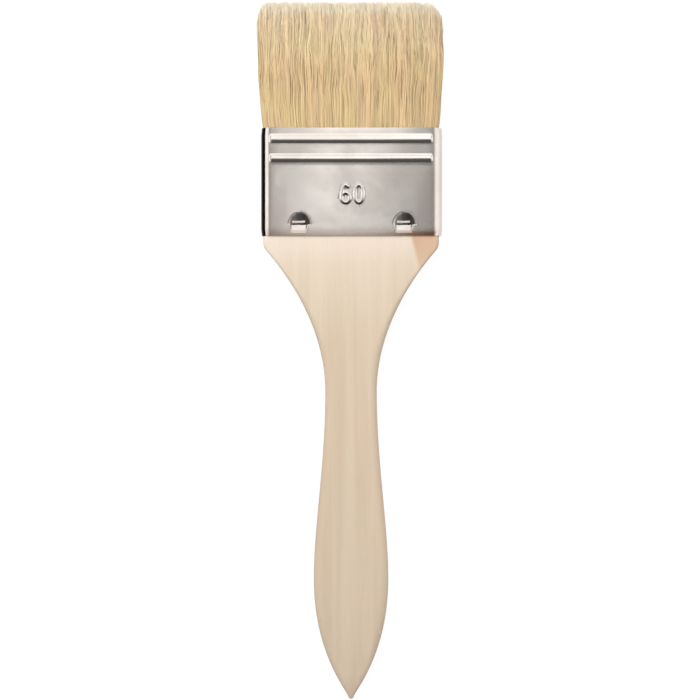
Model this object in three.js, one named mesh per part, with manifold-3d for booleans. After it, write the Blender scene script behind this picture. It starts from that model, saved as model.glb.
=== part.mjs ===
import * as THREE from 'three';
import { mergeVertices } from 'three/addons/utils/BufferGeometryUtils.js';
import Module from 'manifold-3d';

// A flat paint brush lying on its back: a one-piece wooden handle, a tinplate ferrule held by four
// punch marks, and two banks of bristle set in glue with a strip between them.
//
// Millimetres. X runs across the brush, +Y along it towards the bristle tips, +Z up.
// Every shape is drawn with y = 0 at the ferrule's lower edge and z = 0 in the middle of the
// thickness. The group at the end stands the brush over the middle of its footprint.

// ---------------------------------------------------------------- driving dimensions

// Ferrule: a strip of tinplate bent into a flat tube, its ends lapped on one narrow side
const ferruleWidth = 60;
const ferruleThickness = 8;
const ferruleHeight = 36;
const sheet = 0.35;
const ferruleCorner = 3.2;
const lapEdge = 0.5; // from the middle of the narrow side back to the edge of the outer layer

// Two beads pressed outwards across both faces
const beadWidth = 3.3;
const beadHeight = 0.55;
const beadBelowMouth = 3.65; // to the middle of the upper bead
const beadPitch = 6.65;
const beadEndMargin = 2.6; // from the ferrule's side to the end of a bead
const beadRunout = 1.6;

// Punch marks that stake the ferrule to the handle, two on each face
const punchSpacing = 35;
const punchWidth = 7.6;
const punchRise = 4.6; // from the deepest line to the top of the arc
const punchValley = 3.3; // from the ferrule's lower edge to the deepest line
const punchLip = 2.3; // from the deepest line to the lower end of the mark
const punchLipWidth = 4.9;
const punchDepth = 1.2;

// Handle: stations are measured down from the ferrule's lower edge
const tangLength = 18.5;
const tangChamfer = 0.8;
const shoulderStation = 3.75;
const shoulderRound = 1.6; // rounding of the corner where the sides turn in
const shoulderEdge = 1.2; // rounding of the long edges at the shoulder
const neckStation = 52;
const neckWidth = 17.3;
const neckEdge = 3;
const neckEdgeStation = 32; // where the long edges reach that rounding
const bellyStation = 114.6;
const bellyWidth = 25;
const handleReach = 155.2;
const tipWidth = 1.8;
const tipRound = 0.6;
const tipThickness = 2;
const tipTaper = 38; // length over which the handle thins towards its tip

// How far the outline keeps its direction at each end of its three curves
const shoulderHold = 15.5;
const shoulderLean = THREE.MathUtils.degToRad(41);
const neckHoldAbove = 19.5;
const neckHoldBelow = 24.5;
const bellyHoldAbove = 17.9;
const bellyHoldBelow = 25.6;
const tipHold = 2.4;
const tipLean = THREE.MathUtils.degToRad(14);

// Bristles: heights are measured from the ferrule's mouth
const bristleLength = 42;
const tuftSwell = 1.5; // growth of the half width above the ferrule
const tuftSwellHeight = 27;
const tuftThickening = 0.45; // growth of the half thickness
const tuftCorner = 2.4;
const tipCornerWide = 3.4;
const tipCornerThin = 1.6;

// Flex line, where the bristles start to bend
const flexHeight = 6.5;
const flexRadius = 3.8;
const flexLimit = THREE.MathUtils.degToRad(30);
const flexMargin = THREE.MathUtils.degToRad(4);

// Glue and spacer strip inside the ferrule
const glueHeight = 8;
const glueWall = 0.8;
const gluePocketDepth = 6;
const spacerThickness = 1.6;
const spacerBelowMouth = 2;
const bankClosing = 2.5; // length over which the two banks close above the strip

const fitGap = 0.3; // clearance between neighbouring pieces

// ---------------------------------------------------------------- sizes that follow

const innerHalfWidth = ferruleWidth / 2 - sheet;
const innerHalfThickness = ferruleThickness / 2 - sheet;
const innerCorner = ferruleCorner - sheet;
const packHalfWidth = innerHalfWidth - fitGap; // of whatever fills the ferrule
const packHalfThickness = innerHalfThickness - fitGap;
const packCorner = innerCorner - fitGap;

const glueBottom = tangLength + fitGap;
const glueTop = glueBottom + glueHeight;
const pocketBottom = glueTop - gluePocketDepth;
const pocketHalfWidth = packHalfWidth - glueWall;
const pocketHalfThickness = packHalfThickness - glueWall;
const rootFoot = pocketBottom + fitGap;
const spacerTop = ferruleHeight - spacerBelowMouth;
const bankInnerFace = spacerThickness / 2 + fitGap;
const flexLine = ferruleHeight + flexHeight;
const tipLine = ferruleHeight + bristleLength;

const ARC_STEPS = 4;
const BEAD_STEPS = 6;
const PUNCH_COLUMNS = 8;
const PUNCH_ROWS = 6;
const SKIN = 0.05; // how far a cutting solid stands past the face it cuts

// ---------------------------------------------------------------- helpers

const { lerp, smoothstep } = THREE.MathUtils;
const steps = (count) => Array.from({ length: count + 1 }, (_, k) => k / count);

// Points of a rounded rectangle in the XZ plane, anticlockwise from the right side, with normals.
function roundedOutline(halfWidth, halfThickness, radius) {
  const corners = [[1, 1], [-1, 1], [-1, -1], [1, -1]];
  return corners.flatMap(([sideX, sideZ], quarter) => steps(ARC_STEPS).map((t) => {
    const angle = (quarter + t) * Math.PI / 2;
    const normal = new THREE.Vector2(Math.cos(angle), Math.sin(angle));
    const centre = new THREE.Vector2(sideX * (halfWidth - radius), sideZ * (halfThickness - radius));
    return { point: centre.addScaledVector(normal, radius), normal };
  }));
}

// The upper half of a rounded rectangle, closed along a flat inner face.
function bankOutline(halfWidth, halfThickness, innerFace, cornerRadius) {
  const radius = Math.min(cornerRadius, 0.9 * (halfThickness - innerFace));
  const upper = roundedOutline(halfWidth, halfThickness, radius).slice(0, 2 * (ARC_STEPS + 1));
  const foot = [new THREE.Vector2(-halfWidth, innerFace), new THREE.Vector2(halfWidth, innerFace)];
  return [...upper.map(({ point }) => point), ...foot];
}

const ring = (points, y) => points.map((p) => new THREE.Vector3(p.x, y, p.y));
const section = (y, halfWidth, halfThickness, radius) =>
  ring(roundedOutline(halfWidth, halfThickness, radius).map(({ point }) => point), y);

// A closed body through rings that follow each other along +Y.
function loft(rings) {
  const count = rings[0].length;
  const index = [];
  for (let r = 0; r < rings.length - 1; r++) {
    for (let k = 0; k < count; k++) {
      const a = r * count + k;
      const b = r * count + (k + 1) % count;
      index.push(a, a + count, b, b, a + count, b + count);
    }
  }
  const cap = (points) =>
    THREE.ShapeUtils.triangulateShape(points.map((p) => new THREE.Vector2(p.x, p.z)), []);
  const last = (rings.length - 1) * count;
  cap(rings[0]).forEach(([a, b, c]) => index.push(a, b, c));
  cap(rings.at(-1)).forEach(([a, b, c]) => index.push(last + a, last + c, last + b));
  const geometry = new THREE.BufferGeometry().setFromPoints(rings.flat());
  geometry.setIndex(index);
  return geometry;
}

const wasm = await Module();
wasm.setup();

function toSolid(geometry) {
  const bare = geometry.clone();
  bare.deleteAttribute('normal');
  bare.deleteAttribute('uv');
  const merged = mergeVertices(bare);
  return new wasm.Manifold(new wasm.Mesh({
    numProp: 3,
    vertProperties: merged.attributes.position.array,
    triVerts: new Uint32Array(merged.index.array),
  }));
}

function toGeometry(solid) {
  const mesh = solid.getMesh();
  const geometry = new THREE.BufferGeometry();
  geometry.setAttribute('position', new THREE.BufferAttribute(mesh.vertProperties, 3));
  geometry.setIndex(new THREE.BufferAttribute(mesh.triVerts, 1));
  return geometry;
}

function named(name, geometry, material) {
  geometry.computeVertexNormals();
  const mesh = new THREE.Mesh(geometry, material);
  mesh.name = name;
  return mesh;
}

const material = (color, roughness, metalness = 0) =>
  new THREE.MeshStandardMaterial({ color, roughness, metalness, flatShading: true });

const birch = material(0xe6d2b8, 0.6);
const tinplate = material(0xc9c6c1, 0.32, 0.95);
const resin = material(0x9a6a32, 0.3);
const hardboard = material(0xb08d62, 0.8);
const hogBristle = material(0xdcc39c, 0.75);

// ---------------------------------------------------------------- punch marks

// Depth of a mark at a share of its row's half width: flat in the middle, steep at the sides.
const punchProfile = (across) => 1 - across ** 4;

// The solid between a mark's dented surface, sunk from face, and a flat lid.
function punchSolid(centreX, face, lid, margin) {
  const row = (y, halfWidth, share) => {
    const dented = steps(PUNCH_COLUMNS).map((t) => {
      const across = 2 * t - 1;
      const depth = punchDepth * share * punchProfile(across) - SKIN;
      return new THREE.Vector2(centreX + across * halfWidth, face - depth);
    });
    const right = centreX + halfWidth;
    const left = centreX - halfWidth;
    return ring([...dented, new THREE.Vector2(right, lid), new THREE.Vector2(left, lid)], y);
  };
  const lip = [0, 0.5].map((t) =>
    row(punchValley - (punchLip + margin) * (1 - t),
      lerp(punchLipWidth, punchWidth, t) / 2 + margin, t));
  const arc = steps(PUNCH_ROWS).map((t) => {
    const height = Math.sin(t * Math.PI / 2);
    const halfWidth = (punchWidth / 2) * Math.cos(t * Math.PI / 2) + margin + SKIN;
    return row(punchValley + (punchRise + margin) * height, halfWidth,
      Math.cos(height * Math.PI / 2));
  });
  return toSolid(loft([...lip, ...arc]));
}

// The same mark on both faces and both sides of the middle.
function forEachPunch(make) {
  return [-1, 1].flatMap((side) => {
    const front = make(side * punchSpacing / 2);
    return [front, front.rotate([0, 180, 0])];
  });
}

// ---------------------------------------------------------------- ferrule

const beadMiddles = [0, 1].map((k) => ferruleHeight - beadBelowMouth - k * beadPitch).reverse();

// Rows of the tube: its ends and the rounded steps of each bead.
function ferruleRows() {
  const beads = beadMiddles.flatMap((middle) => steps(BEAD_STEPS).map((t) => ({
    y: middle + (t - 0.5) * beadWidth,
    rise: beadHeight * Math.sin(t * Math.PI),
  })));
  return [{ y: 0, rise: 0 }, ...beads, { y: ferruleHeight, rise: 0 }];
}

// Columns of the tube: the rounded outline, the ends of the beads and the edge of the lap.
function ferruleColumns() {
  const halfWidth = ferruleWidth / 2;
  const halfThickness = ferruleThickness / 2;
  const beadFull = halfWidth - beadEndMargin - beadRunout;
  const corners = roundedOutline(halfWidth, halfThickness, ferruleCorner);
  const flat = (x, z) =>
    ({ point: new THREE.Vector2(x, z), normal: new THREE.Vector2(0, Math.sign(z)) });
  const side = (z) =>
    ({ point: new THREE.Vector2(halfWidth, z), normal: new THREE.Vector2(1, 0) });
  const perCorner = ARC_STEPS + 1;
  const columns = [
    ...corners.slice(0, perCorner),
    flat(beadFull, halfThickness),
    flat(-beadFull, halfThickness),
    ...corners.slice(perCorner, 3 * perCorner),
    flat(-beadFull, -halfThickness),
    flat(beadFull, -halfThickness),
    ...corners.slice(3 * perCorner),
    side(-lapEdge - SKIN),
    side(-lapEdge),
  ];
  return columns.map(({ point, normal }) => ({
    point,
    normal,
    bead: smoothstep(halfWidth - beadEndMargin - Math.abs(point.x), 0, beadRunout),
    lap: point.x > 0 && point.y >= -lapEdge ? 1 - smoothstep(normal.y, 0.2, 1) : 0,
  }));
}

function ferrule() {
  const rows = ferruleRows();
  const columns = ferruleColumns();
  const wall = (inset, lapRise, overrun) => loft(rows.map(({ y, rise }, k) => {
    const past = k === 0 ? -overrun : k === rows.length - 1 ? overrun : 0;
    const points = columns.map(({ point, normal, bead, lap }) =>
      point.clone().addScaledVector(normal, rise * bead + lapRise * lap - inset));
    return ring(points, y + past);
  }));
  const outside = toSolid(wall(0, sheet, 0));
  const inside = toSolid(wall(sheet, 0, 1));
  const outerFace = ferruleThickness / 2;
  const bumps = forEachPunch((x) =>
    punchSolid(x, innerHalfThickness, innerHalfThickness + 2 * SKIN, 0));
  const dents = forEachPunch((x) => punchSolid(x, outerFace, outerFace + punchDepth, 0));
  let shell = outside.subtract(inside);
  bumps.forEach((bump) => { shell = shell.add(bump); });
  dents.forEach((dent) => { shell = shell.subtract(dent); });
  return named('ferrule', toGeometry(shell), tinplate);
}

// ---------------------------------------------------------------- handle

const outlinePoint = (halfWidth, station) => new THREE.Vector2(halfWidth, station);

// Half widths and stations of the handle from the shoulder to the start of the rounded tip.
function handleOutline() {
  const shoulder = outlinePoint(packHalfWidth, shoulderStation);
  const neck = outlinePoint(neckWidth / 2, neckStation);
  const belly = outlinePoint(bellyWidth / 2, bellyStation);
  const tip = outlinePoint(tipWidth / 2, handleReach - tipRound);
  const moved = (point, lean, distance) =>
    point.clone().add(outlinePoint(-Math.sin(lean) * distance, Math.cos(lean) * distance));
  const above = moved(shoulder, 0, -shoulderRound);
  const below = moved(shoulder, shoulderLean, shoulderRound);
  const curves = [
    [below, moved(shoulder, shoulderLean, shoulderHold), moved(neck, 0, -neckHoldAbove), neck],
    [neck, moved(neck, 0, neckHoldBelow), moved(belly, 0, -bellyHoldAbove), belly],
    [belly, moved(belly, 0, bellyHoldBelow), moved(tip, tipLean, -tipHold), tip],
  ];
  const counts = [14, 10, 16];
  const corner = new THREE.QuadraticBezierCurve(above, shoulder, below).getPoints(3);
  const sides = curves.flatMap((points, k) =>
    new THREE.CubicBezierCurve(...points).getPoints(counts[k]).slice(1));
  return [...corner, ...sides];
}

// Half thickness of the handle: even, then an ellipse down to the tip.
function handleHalfThickness(station) {
  const along = THREE.MathUtils.clamp((station - handleReach + tipTaper) / tipTaper, 0, 1);
  const thin = tipThickness / 2;
  return thin + (packHalfThickness - thin) * Math.sqrt(1 - along ** 2);
}

function handleSection(halfWidth, station) {
  const halfThickness = handleHalfThickness(station);
  const growth = smoothstep(station, shoulderStation, neckEdgeStation);
  const edge = lerp(shoulderEdge, neckEdge, growth);
  const radius = Math.min(edge, 0.95 * halfThickness, 0.95 * halfWidth);
  return section(-station, halfWidth, halfThickness, radius);
}

function handle() {
  const outline = handleOutline();
  const end = outline.at(-1);
  const tipRings = [80, 55, 30].map((degrees) => {
    const angle = THREE.MathUtils.degToRad(degrees);
    const station = end.y + tipRound * Math.sin(angle);
    const share = Math.cos(angle);
    const halfThickness = handleHalfThickness(end.y) * share;
    const halfWidth = end.x * share;
    return section(-station, halfWidth, halfThickness, 0.95 * Math.min(halfWidth, halfThickness));
  });
  const blade = outline.map(({ x, y }) => handleSection(x, y)).reverse();
  const ledge = handleSection(packHalfWidth, fitGap);
  const tang = [
    section(0, packHalfWidth, packHalfThickness, packCorner),
    section(tangLength - tangChamfer, packHalfWidth, packHalfThickness, packCorner),
    section(tangLength, packHalfWidth - tangChamfer, packHalfThickness - tangChamfer,
      packCorner - tangChamfer),
  ];
  let blank = toSolid(loft([...tipRings, ...blade, ledge, ...tang]));
  const recesses = forEachPunch((x) =>
    punchSolid(x, packHalfThickness, packHalfThickness + punchDepth, fitGap));
  recesses.forEach((recess) => { blank = blank.subtract(recess); });
  return named('handle', toGeometry(blank), birch);
}

// ---------------------------------------------------------------- glue and spacer strip

function gluePlug() {
  const corner = packCorner - glueWall;
  const block = toSolid(loft([
    section(glueBottom, packHalfWidth, packHalfThickness, packCorner),
    section(glueTop, packHalfWidth, packHalfThickness, packCorner),
  ]));
  const pocket = toSolid(loft([
    section(pocketBottom, pocketHalfWidth, pocketHalfThickness, corner),
    section(glueTop + 1, pocketHalfWidth, pocketHalfThickness, corner),
  ]));
  return named('glue_plug', toGeometry(block.subtract(pocket)), resin);
}

function spacerStrip() {
  const width = 2 * (pocketHalfWidth - fitGap);
  const height = spacerTop - rootFoot;
  const strip = new THREE.BoxGeometry(width, height, spacerThickness);
  const mesh = named('spacer_strip', strip, hardboard);
  mesh.position.y = rootFoot + height / 2;
  return mesh;
}

// ---------------------------------------------------------------- bristles

// Half width of the tuft at a height above the mouth.
function tuftHalfWidth(height) {
  const swell = tuftSwell * Math.sin(Math.min(height / tuftSwellHeight, 1.4) * Math.PI / 2);
  const turn = Math.max(0, height - bristleLength + tipCornerWide) / tipCornerWide;
  return packHalfWidth + fitGap + swell - tipCornerWide * (1 - Math.sqrt(1 - turn ** 2));
}

// Half thickness of the tuft at a height above the mouth.
function tuftHalfThickness(height) {
  const past = Math.max(0, height - flexHeight) / (bristleLength - flexHeight);
  const swell = tuftThickening * Math.sin(past * Math.PI * 0.75);
  const turn = Math.max(0, height - bristleLength + tipCornerThin) / tipCornerThin;
  return flexRadius + swell - tipCornerThin * (1 - Math.sqrt(1 - turn ** 2));
}

// Roots: held in the glue and the ferrule, with a round hollow above that the tuft turns in.
function rootBank() {
  const footHalfWidth = pocketHalfWidth - fitGap;
  const footHalfThickness = pocketHalfThickness - fitGap;
  const footCorner = packCorner - glueWall - fitGap;
  const neck = glueTop + fitGap;
  const closing = spacerTop + fitGap;
  const hornTop = flexLine - (flexRadius + fitGap) * Math.sin(flexLimit + flexMargin);
  const held = (y, innerFace) =>
    ring(bankOutline(packHalfWidth, packHalfThickness, innerFace, packCorner), y);
  const foot = (y) =>
    ring(bankOutline(footHalfWidth, footHalfThickness, bankInnerFace, footCorner), y);
  const top = ring(bankOutline(tuftHalfWidth(hornTop - ferruleHeight), flexRadius, fitGap / 2,
    tuftCorner), hornTop);
  const body = toSolid(loft([
    foot(rootFoot),
    foot(neck),
    held(neck, bankInnerFace),
    held(closing, bankInnerFace),
    held(Math.min(closing + bankClosing, flexLine - flexRadius - 2 * fitGap), fitGap / 2),
    top,
  ]));
  const hollow = new THREE.CylinderGeometry(
    flexRadius + fitGap, flexRadius + fitGap, 2 * ferruleWidth, 48);
  hollow.rotateZ(Math.PI / 2).translate(0, flexLine, 0);
  return toGeometry(body.subtract(toSolid(hollow)));
}

// Tuft: a half round base about the flex line, then the free length up to the cut tips.
function tuftBank() {
  const bank = (y, halfWidth, halfThickness) =>
    ring(bankOutline(halfWidth, halfThickness, fitGap / 2, tuftCorner), y);
  const base = [78, 65, 50, 35, 18].map((degrees) => {
    const angle = THREE.MathUtils.degToRad(degrees);
    return bank(flexLine - flexRadius * Math.sin(angle), tuftHalfWidth(flexHeight),
      flexRadius * Math.cos(angle));
  });
  const straight = steps(8).map((t) => lerp(flexHeight, bristleLength - tipCornerWide, t));
  const rounded = [30, 55, 75].map((degrees) =>
    bristleLength - tipCornerWide * (1 - Math.sin(THREE.MathUtils.degToRad(degrees))));
  const free = [...straight, ...rounded, bristleLength].map((height) =>
    bank(ferruleHeight + height, tuftHalfWidth(height), tuftHalfThickness(height)));
  return loft([...base, ...free]);
}

// The front bank lies towards +Z; the back bank is the same piece turned half round.
function banks(name, geometry) {
  const front = named(`${name}_front_bank`, geometry, hogBristle);
  const back = named(`${name}_back_bank`, geometry, hogBristle);
  back.rotation.y = Math.PI;
  return [front, back];
}

// ---------------------------------------------------------------- assembly

const brush = new THREE.Group();
brush.add(
  handle(),
  ferrule(),
  gluePlug(),
  spacerStrip(),
  ...banks('roots', rootBank()),
  ...banks('tuft', tuftBank()),
);
brush.position.set(-sheet / 2, (handleReach - tipLine) / 2, ferruleThickness / 2 + beadHeight);

export default brush;
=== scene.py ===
"""A flat paint brush lying on its back: birch handle, tinplate ferrule and a tuft of hog bristle.

Shapes are drawn in millimetres from one point: the middle of the brush at the ferrule's lower edge,
with x across the brush, y towards the bristle tips and z up out of the front face.
"""

import bpy
import numpy as np
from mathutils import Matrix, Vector


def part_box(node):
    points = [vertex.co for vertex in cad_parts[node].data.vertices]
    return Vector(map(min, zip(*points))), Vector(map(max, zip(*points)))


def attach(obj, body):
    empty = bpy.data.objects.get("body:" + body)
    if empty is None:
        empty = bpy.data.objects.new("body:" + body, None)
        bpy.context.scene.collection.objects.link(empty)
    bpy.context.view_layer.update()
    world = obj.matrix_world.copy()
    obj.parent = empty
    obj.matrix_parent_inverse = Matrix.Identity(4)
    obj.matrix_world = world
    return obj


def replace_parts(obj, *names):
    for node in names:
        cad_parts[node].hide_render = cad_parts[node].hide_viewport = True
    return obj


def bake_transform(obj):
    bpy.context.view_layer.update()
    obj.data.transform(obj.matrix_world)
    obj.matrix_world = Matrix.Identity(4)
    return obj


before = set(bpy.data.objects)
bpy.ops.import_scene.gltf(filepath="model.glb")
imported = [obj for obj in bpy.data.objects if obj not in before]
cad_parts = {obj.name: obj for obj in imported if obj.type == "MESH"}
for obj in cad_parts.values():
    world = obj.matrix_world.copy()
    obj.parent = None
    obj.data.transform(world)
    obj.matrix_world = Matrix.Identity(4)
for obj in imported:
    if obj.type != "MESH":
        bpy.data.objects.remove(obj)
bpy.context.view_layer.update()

# -------- measures from the frame

MM = 0.001
handle_box = np.array([list(corner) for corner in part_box("handle")])
ferrule_box = np.array([list(corner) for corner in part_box("ferrule")])
tuft_box = np.array([list(corner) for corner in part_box("tuft_front_bank")])
ORIGIN = np.array([handle_box[:, 0].mean(), ferrule_box[0, 1], handle_box[:, 2].mean()])

FERRULE_HEIGHT = (ferrule_box[1, 1] - ferrule_box[0, 1]) / MM
HALF_BLANK = (handle_box[1, 0] - handle_box[0, 0]) / 2 / MM
HALF_BLANK_THICK = (handle_box[1, 2] - handle_box[0, 2]) / 2 / MM
TANG_LENGTH = (handle_box[1, 1] - ORIGIN[1]) / MM
HANDLE_REACH = (ORIGIN[1] - handle_box[0, 1]) / MM
BRISTLE_LENGTH = (tuft_box[1, 1] - ferrule_box[1, 1]) / MM

# -------- dimensions, mm

FIT_GAP = 0.3
SHEET = 0.35
HALF_WIDTH = HALF_BLANK + FIT_GAP + SHEET
HALF_THICK = HALF_BLANK_THICK + FIT_GAP + SHEET
FERRULE_CORNER = 3.2
HALF_FLAT = HALF_WIDTH - FERRULE_CORNER
FERRULE_BOW = 0.2  # how far the rounded sides stand out between the two rims
FERRULE_CROWN = 0.035  # how far the faces fall away towards the rounded sides
CROWN_REACH = 9.0  # how far in from a side the fall starts
FERRULE_WAVE = 0.018
MOUTH_PINCH, PINCH_HEIGHT = 0.14, 2.8  # how far the faces dip along the mouth, and over what height
LOWER_TUCK, TUCK_HEIGHT = 0.12, 1.0  # the same along the lower edge
LAP_EDGE = 0.5  # how far below the middle of the +x narrow side the lap ends

BEAD_WIDTH = 3.3
BEAD_HEIGHT = 0.47
BEAD_MIDDLES = (FERRULE_HEIGHT - 3.65, FERRULE_HEIGHT - 9.95)
BEAD_UPPER_FOOT = (2.0, 1.65)
BEAD_LOWER_FOOT = (1.25, 1.4)
BEAD_SUNK = (0.02, 0.03)  # depth of the sunk line below each bead
SUNK_BELOW_FOOT = 0.55
SUNK_HALF_WIDTH = 0.5
BEAD_CREST_DROP = 0.35
BEAD_END = HALF_WIDTH - 2.9
BEAD_RUNOUT = 0.5

PUNCH_MIDDLES = (-17.5, 17.5)
PUNCH_HALF_WIDTH = 3.8
PUNCH_RISE = 4.3
PUNCH_CUT = 3.6  # height of the sheared line above the ferrule's lower edge
PUNCH_SHIFT = 0.3  # how far right of the cut's middle the bowl above it lies
PUNCH_DEPTH = 1.1
BOWL_STEEPNESS = 1.12
BOWL_POWER = 0.85
PUNCH_LIP = 2.6
PUNCH_LIP_HALF_WIDTH = 2.45
PUNCH_LIP_SPREAD = 0.3
PUNCH_LIP_DEPTH = 0.95 * PUNCH_DEPTH
TONGUE_RISE = 0.35
TONGUE_HALF_WIDTH = 2.0
PUNCH_SOFT_EDGE = 0.3  # half the width of the slopes at the sides of lip and tongue

NUMBER_MIDDLE = (0.4, 14.0)
NUMBER_HEIGHT = 6.9
DIGIT_WIDTH = 3.8
DIGIT_PITCH = 4.4
SIX_LOOP = 0.56  # height of the six's loop as a share of its digit's
SIX_STEM_START = np.radians(62)
STROKE = 0.55  # half the width of a raised stroke
STROKE_FOOT = STROKE + 0.25  # where its flank starts, off the centre line
STROKE_TOP = STROKE - 0.45
STROKE_RISE = 0.36

SHOULDER_STATION = 3.75
SHOULDER_ROUND = 1.6
SHOULDER_LEAN = np.radians(41)
SHOULDER_HOLD = 15.5  # how far the outline's curve keeps the shoulder's direction
SHOULDER_EDGE = 0.9
NECK = (8.65, 52.0)  # half width, and station below the ferrule
NECK_HOLD = (19.5, 24.5)  # towards the shoulder and towards the belly
NECK_EDGE = 2.8
NECK_EDGE_STATION = 42.0
BELLY = (12.5, 114.6)
BELLY_HOLD = (17.9, 25.6)  # towards the neck and towards the tip
TIP_HALF_WIDTH = 0.9
TIP_ROUND = 0.7
TIP_HOLD = 2.4
TIP_LEAN = np.radians(14)
TIP_HALF_THICK = 0.8
TIP_TAPER = 38.0
TANG_CORNER = FERRULE_CORNER - SHEET - FIT_GAP
TANG_CHAMFER = 0.8
LEFT_GRAIN_AND_SHADE = 0.45  # how much of the right edge's end grain and painted shade the left edge, nearer the lamp, shows

# -------- small helpers


def smooth(value, low, high):
    """0 below low, 1 above high and an S curve between. With low above high it falls instead."""
    t = np.clip((value - low) / (high - low), 0, 1)
    return t * t * (3 - 2 * t)


def bezier(*controls, count):
    """Points of the Bezier curve through its first and last control, by repeated interpolation."""
    t = np.linspace(0, 1, count)[:, None]
    levels = [np.array(control, float)[None] + 0 * t for control in controls]
    while len(levels) > 1:
        levels = [a * (1 - t) + b * t for a, b in zip(levels, levels[1:])]
    return levels[0]


def graded(low, high, coarse, *windows):
    """Ascending stations: even ones coarse apart, and finer ones in each (from, to, step) window."""
    even = np.linspace(low, high, max(2, int(np.ceil((high - low) / coarse)) + 1))
    fine = [np.arange(a, b + step / 2, step) for a, b, step in windows]
    covered = np.any([(even > a) & (even < b) for a, b, _ in windows], axis=0)
    stations = np.unique(np.round(np.concatenate([even[~covered], *fine]), 5))
    return stations[(stations >= low) & (stations <= high)]


def new_piece(name, points, faces, material, body=None, attributes=(), corner_uv=None):
    """A smoothly shaded mesh from points in millimetres and arrays of faces, one row per face."""
    mesh = bpy.data.meshes.new(name)
    mesh.vertices.add(len(points))
    mesh.vertices.foreach_set("co", (points * MM + ORIGIN).astype(np.float32).ravel())
    corners = np.concatenate([part.ravel() for part in faces]).astype(np.int32)
    counts = np.concatenate([np.full(len(part), part.shape[1]) for part in faces])
    starts = np.concatenate([[0], np.cumsum(counts)[:-1]]).astype(np.int32)
    mesh.loops.add(len(corners))
    mesh.loops.foreach_set("vertex_index", corners)
    mesh.polygons.add(len(starts))
    mesh.polygons.foreach_set("loop_start", starts)
    mesh.update(calc_edges=True)
    mesh.polygons.foreach_set("use_smooth", np.ones(len(starts), bool))
    for label, values in attributes:
        field = mesh.attributes.new(label, "FLOAT", "POINT")
        field.data.foreach_set("value", values.astype(np.float32).ravel())
    if corner_uv is not None:
        layer = mesh.uv_layers.new(name="OFBake")
        layer.uv.foreach_set("vector", corner_uv.astype(np.float32).ravel())
    mesh.validate()
    mesh.materials.append(material)
    piece = bpy.data.objects.new(name, mesh)
    bpy.context.scene.collection.objects.link(piece)
    if body:
        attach(piece, body)
    return piece


def tube_faces(rows, columns, offset=0, inward=False):
    """Quads of a grid that is closed round its columns, seen from outside or, turned, from inside."""
    row, column = np.meshgrid(np.arange(rows - 1), np.arange(columns), indexing="ij")
    a = (row * columns + column).ravel() + offset
    b = (row * columns + (column + 1) % columns).ravel() + offset
    quads = np.stack([a, a + columns, b + columns, b], 1)
    return quads[:, ::-1] if inward else quads


# -------- shader helpers


class Value:
    """A number that varies over a surface. Arithmetic on it adds Math nodes."""

    def __init__(self, paint, socket):
        self.paint = paint
        self.socket = socket

    def __add__(self, other):
        return self.paint.math("ADD", self, other)

    def __sub__(self, other):
        return self.paint.math("SUBTRACT", self, other)

    def __rsub__(self, other):
        return self.paint.math("SUBTRACT", other, self)

    def __mul__(self, other):
        return self.paint.math("MULTIPLY", self, other)

    __radd__ = __add__
    __rmul__ = __mul__


class Paint:
    """The nodes of one material or of the world."""

    def __init__(self, owner):
        owner.use_nodes = True
        self.owner = owner
        self.tree = owner.node_tree

    def node(self, kind, settings=None, **sockets):
        """A new node. Its settings are set first, then its sockets, each a value or a link.

        A socket goes by its name, with _ for a space, or as _0, _1 and so on by its number.
        """
        made = self.tree.nodes.new("ShaderNode" + kind)
        for key, setting in (settings or {}).items():
            setattr(made, key, setting)
        for key, given in sockets.items():
            index = int(key[1:]) if key[0] == "_" else key.replace("_", " ")
            self.feed(made.inputs[index], given)
        return made

    def feed(self, socket, given):
        """Link a socket, or set its value."""
        given = given.socket if isinstance(given, Value) else given
        if isinstance(given, bpy.types.NodeSocket):
            self.tree.links.new(given, socket)
        else:
            socket.default_value = given

    def math(self, operation, first, second=0.0):
        """The result of a Math node."""
        made = self.node("Math", {"operation": operation}, _0=first, _1=second)
        return Value(self, made.outputs[0])

    def smooth(self, value, low, high):
        """0 below low, 1 above high and an S curve between. With low above high it falls instead."""
        made = self.node("MapRange", {"interpolation_type": "SMOOTHSTEP"}, Value=value,
                         From_Min=low, From_Max=high, To_Min=0.0, To_Max=1.0)
        return Value(self, made.outputs["Result"])

    def place(self):
        """The surface point in the object's own metres, as a vector and as three values."""
        vector = self.node("TexCoord").outputs["Object"]
        parts = self.node("SeparateXYZ", Vector=vector).outputs
        return vector, [Value(self, part) for part in parts]

    def noise(self, vector, stretch, detail=2.0, roughness=0.5, distortion=0.0):
        """Soft noise from 0 to 1 whose grains measure 1/stretch metres along each axis."""
        scaled = self.node("VectorMath", {"operation": "MULTIPLY"}, _0=vector, _1=stretch)
        made = self.node("TexNoise", Vector=scaled.outputs[0], Scale=1.0, Detail=detail,
                         Roughness=roughness, Distortion=distortion)
        return Value(self, made.outputs[0])

    def mix(self, first, second, share):
        """A colour between two others."""
        made = self.node("Mix", {"data_type": "RGBA"}, _0=share, _6=first, _7=second)
        return made.outputs[2]

    def shade(self, colour, amount):
        """A colour times a value."""
        grey = self.node("CombineXYZ", X=amount, Y=amount, Z=amount)
        made = self.node("VectorMath", {"operation": "MULTIPLY"}, _0=colour, _1=grey.outputs[0])
        return made.outputs[0]

    def attribute(self, name):
        """A value that the mesh holds for each of its points."""
        made = self.node("Attribute", {"attribute_type": "GEOMETRY", "attribute_name": name})
        return Value(self, made.outputs["Fac"])

    def rays(self):
        """1 for rays straight from the camera, and 1 for those off a glossy surface."""
        outputs = self.node("LightPath").outputs
        return Value(self, outputs["Is Camera Ray"]), Value(self, outputs["Is Glossy Ray"])


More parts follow.
